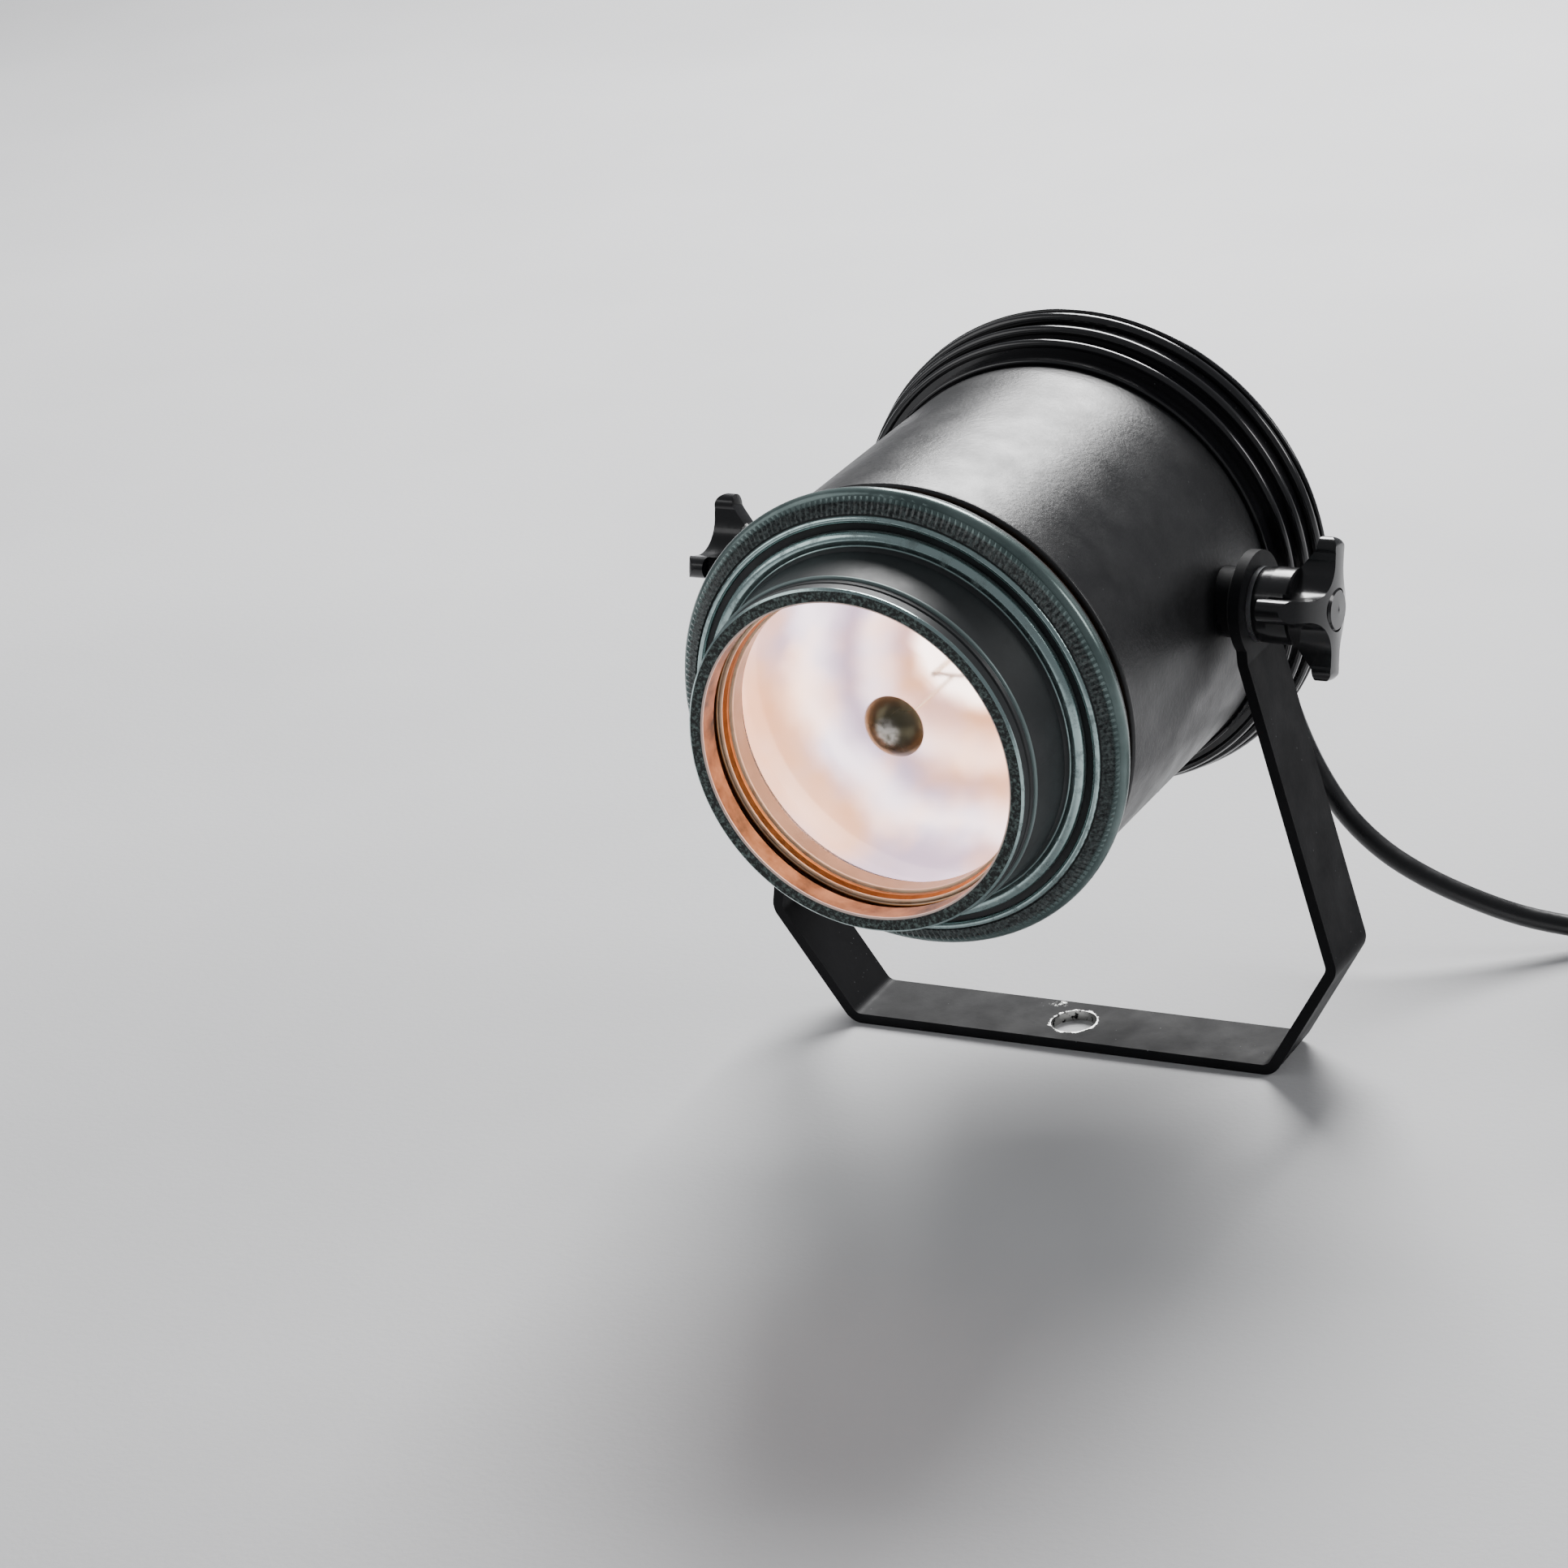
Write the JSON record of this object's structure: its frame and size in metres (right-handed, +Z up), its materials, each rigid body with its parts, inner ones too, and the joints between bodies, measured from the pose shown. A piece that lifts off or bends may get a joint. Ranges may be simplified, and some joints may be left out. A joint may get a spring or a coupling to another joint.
{
  "type": "par can light",
  "caption": "Small black par can spotlight with a stepped rear collar, front snout and star tilt knobs on a bent strap yoke standing on the floor, with its mains lead",
  "frame": {"origin": "centre of the fixing hole on the underside of the yoke base", "axes": "+X along the tilt axis, +Z up, the beam leaves along -Y"},
  "size_m": [0.3393, 0.2175, 0.1982],
  "materials": {
    "powder_black": "matte",
    "satin_black": "satin",
    "gloss_black": "gloss",
    "ring_metal": "satin",
    "copper_tone": "satin",
    "silicone": "satin",
    "lamp_glass": "gloss",
    "mirror": "polished",
    "shield_metal": "satin",
    "hot_wire": "satin",
    "brass": "satin",
    "rubber": "matte",
    "steel": "satin",
    "core_steel": "satin",
    "copper_wire": "gloss",
    "cream_plastic": "satin",
    "wire_brown": "satin",
    "black_plastic": "gloss",
    "cord_black": "satin",
    "chrome": "polished"
  },
  "bodies": {
    "base": {"yoke": "satin_black", "cord_lead": "cord_black", "cord_coil": "cord_black", "cord_tail": "cord_black", "coil_tie": "cord_black", "plug_body": "rubber", "plug_pins": "chrome", "plug_earth_clips": "brass"},
    "can": {"body_tube": "powder_black", "bayonet_pins": "steel", "rear_collar": "gloss_black", "rear_cap": "powder_black", "cap_screws": "steel", "lamp_lens": "lamp_glass", "lamp_reflector": "mirror", "filament_shield": "shield_metal", "filament": "hot_wire", "lamp_terminals": "brass", "lamp_gasket": "rubber", "lamp_spring": "steel", "transformer_core": "core_steel", "transformer_winding": "copper_wire", "transformer_bracket": "steel", "bracket_screws": "steel", "terminal_block": "cream_plastic", "terminal_screws": "brass", "earth_screw": "brass", "mains_wires": "wire_brown", "lamp_wires": "silicone", "cable_gland": "black_plastic", "gland_nut": "black_plastic", "strain_relief": "rubber", "right_stud": "steel", "left_stud": "steel", "right_boss": "satin_black", "left_boss": "satin_black", "right_stud_nut": "steel", "left_stud_nut": "steel", "right_rubber_washer": "rubber", "left_rubber_washer": "rubber", "right_washer": "steel", "left_washer": "steel"},
    "front": {"front_ring": "ring_metal", "snout": "ring_metal", "lens_ring": "copper_tone", "lens_seal": "silicone"},
    "right_knob_body": {"right_knob": "black_plastic", "right_knob_insert": "brass", "right_knob_cap": "black_plastic"},
    "left_knob_body": {"left_knob": "black_plastic", "left_knob_insert": "brass", "left_knob_cap": "black_plastic"}
  },
  "joints": [
    {"name": "tilt", "type": "hinge", "parent": "base", "child": "can", "pos_m": [0, 0, 0.135], "axis": [1, 0, 0], "range_deg": [-90, 90], "deforming": ["cord_lead"]},
    {"name": "front_turn", "type": "hinge", "parent": "can", "child": "front", "pos_m": [0, 0, 0.129], "axis": [0, -1, 0], "range_deg": [-40, 0]},
    {"name": "right_knob_turn", "type": "hinge", "parent": "can", "child": "right_knob_body", "pos_m": [0.08, 0, 0.135], "axis": [1, 0, 0], "range_deg": [-90, 720]},
    {"name": "left_knob_turn", "type": "hinge", "parent": "can", "child": "left_knob_body", "pos_m": [-0.08, 0, 0.135], "axis": [-1, 0, 0], "range_deg": [-90, 720]}
  ]
}
